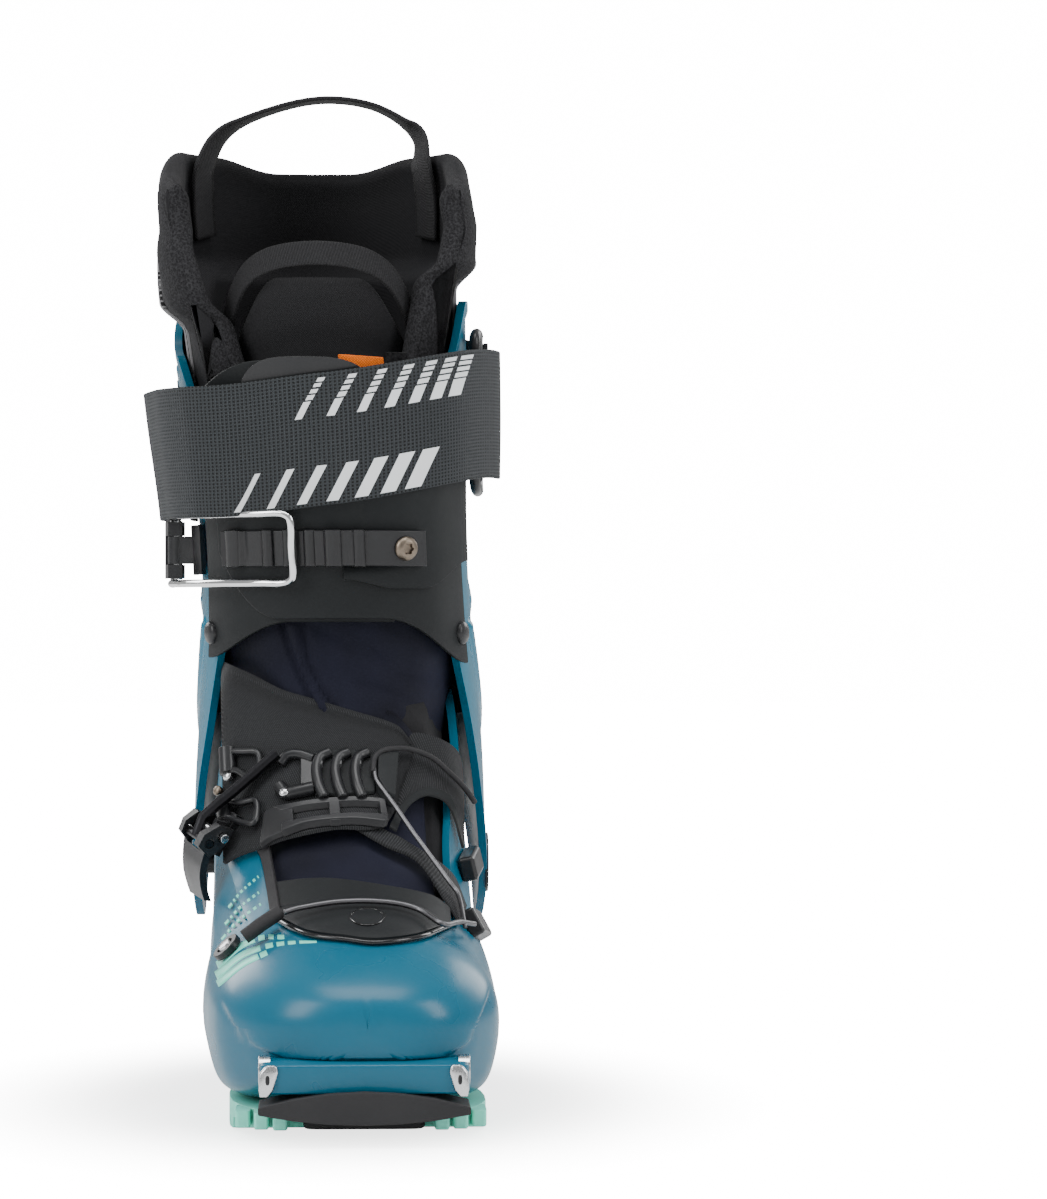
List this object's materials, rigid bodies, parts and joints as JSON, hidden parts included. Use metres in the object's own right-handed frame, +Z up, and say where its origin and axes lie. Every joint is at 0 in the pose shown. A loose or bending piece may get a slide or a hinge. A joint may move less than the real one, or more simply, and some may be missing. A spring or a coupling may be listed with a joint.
{
  "type": "alpine touring ski boot",
  "caption": "Right alpine touring ski boot: hinged cuff over a lower shell, liner with tongue and pull loops, power strap, two buckles, cable closure, rear walk lever and binding fittings.",
  "frame": {"origin": "on the floor, on the flat tread of the heel, straight under the ankle pivot axis", "axes": "+Z up the leg, -Y towards the toe, +X towards the medial side of a right boot; the ankle pivot axis is parallel to X at 80 mm height"},
  "size_m": [0.1251, 0.3057, 0.3729],
  "materials": {
    "teal_plastic": "smooth satin, lightly glossy",
    "black_plastic": "fine matt texture",
    "black_rubber": "matt",
    "mint_rubber": "matt",
    "steel": "plain bright steel",
    "black_metal": "satin black coated metal",
    "spring_steel": "straw coloured spring wire",
    "liner_foam": "knitted cover over heat-moulded foam",
    "gaiter_fabric": "stretch woven",
    "webbing": "open woven webbing",
    "orange_tape": "woven tape"
  },
  "bodies": {
    "shell": {"ankle_rivet_lateral": "black_plastic", "ankle_rivet_medial": "black_plastic", "boot_board": "black_plastic", "cable_anchor": "black_plastic", "cable_anchor_screw": "steel", "cable_guide_lower": "black_plastic", "cable_guide_upper": "black_plastic", "cable_over_toe": "black_plastic", "cable_sleeve": "black_rubber", "cable_slider_to_lower_guide": "black_plastic", "cable_slider_to_upper_guide": "black_plastic", "forefoot_sole": "mint_rubber", "gaiter_foot": "gaiter_fabric", "heel_insert": "steel", "heel_insert_screw": "steel", "heel_sole": "black_rubber", "inner_boot_foot": "liner_foam", "instep_buckle_base": "black_plastic", "instep_catch": "black_plastic", "instep_flap_lateral": "black_rubber", "instep_flap_medial": "black_rubber", "instep_hinge_pin": "steel", "instep_strap_pad": "black_rubber", "lower_shell": "teal_plastic", "ribbed_slider": "black_plastic", "toe_bumper": "black_rubber", "toe_insert_lateral": "steel", "toe_insert_medial": "steel", "walk_lock_bolt": "steel", "walk_lock_plate": "black_metal"},
    "cuff": {"cuff_shell": "teal_plastic", "cuff_wrap_lateral": "black_plastic", "cuff_wrap_medial": "black_plastic", "cuff_yoke": "black_plastic", "buckle_rack": "black_plastic", "buckle_rack_screw": "steel", "upper_buckle_base": "black_plastic", "upper_hinge_pin": "steel", "power_strap_front": "webbing", "power_strap_rear": "webbing", "strap_ring": "black_plastic", "strap_clip": "black_plastic", "liner_cuff": "liner_foam", "liner_tongue": "liner_foam", "tongue_tab": "orange_tape", "rear_pull_loop": "webbing", "tongue_pull_loop": "webbing", "gaiter_cuff": "gaiter_fabric", "walk_channel": "black_plastic", "walk_screw_upper": "steel", "walk_screw_lower": "steel", "walk_pin": "steel"},
    "walk_lever": {"walk_lever": "black_metal", "walk_roller": "steel", "walk_spring": "spring_steel", "walk_pull_pad": "black_plastic"},
    "upper_lever": {"upper_lever": "black_plastic"},
    "upper_bail": {"upper_bail": "steel"},
    "instep_lever": {"instep_lever": "black_plastic"},
    "instep_adjuster": {"instep_adjuster": "black_plastic"}
  },
  "joints": [
    {"name": "cuff_flex", "type": "hinge", "parent": "shell", "child": "cuff", "pos_m": [0, 0, 0.08], "axis": [1, 0, 0], "range_deg": [-20, 25]},
    {"name": "walk_release", "type": "hinge", "parent": "cuff", "child": "walk_lever", "pos_m": [0, 0.064, 0.174], "axis": [1, 0, 0], "range_deg": [0, 95]},
    {"name": "upper_release", "type": "hinge", "parent": "cuff", "child": "upper_lever", "pos_m": [-0.059, -0.03, 0.196], "axis": [0, 0, 1], "range_deg": [0, 140]},
    {"name": "upper_bail_turn", "type": "hinge", "parent": "upper_lever", "child": "upper_bail", "pos_m": [-0.061, -0.019, 0.196], "axis": [0, 0, 1], "range_deg": [-140, 0]},
    {"name": "instep_release", "type": "hinge", "parent": "shell", "child": "instep_lever", "pos_m": [-0.04575, -0.09313, 0.09744], "axis": [-0.4459, 0.8621, 0.241], "range_deg": [0, 80]},
    {"name": "instep_rod_turn", "type": "hinge", "parent": "instep_lever", "child": "instep_adjuster", "pos_m": [-0.05024, -0.09486, 0.09532], "axis": [-0.4459, 0.8621, 0.241], "range_deg": [-80, 0]}
  ],
  "couplings": [
    {"joint": "upper_bail_turn", "follows": "upper_release", "ratio": -1},
    {"joint": "instep_rod_turn", "follows": "instep_release", "ratio": -1}
  ]
}
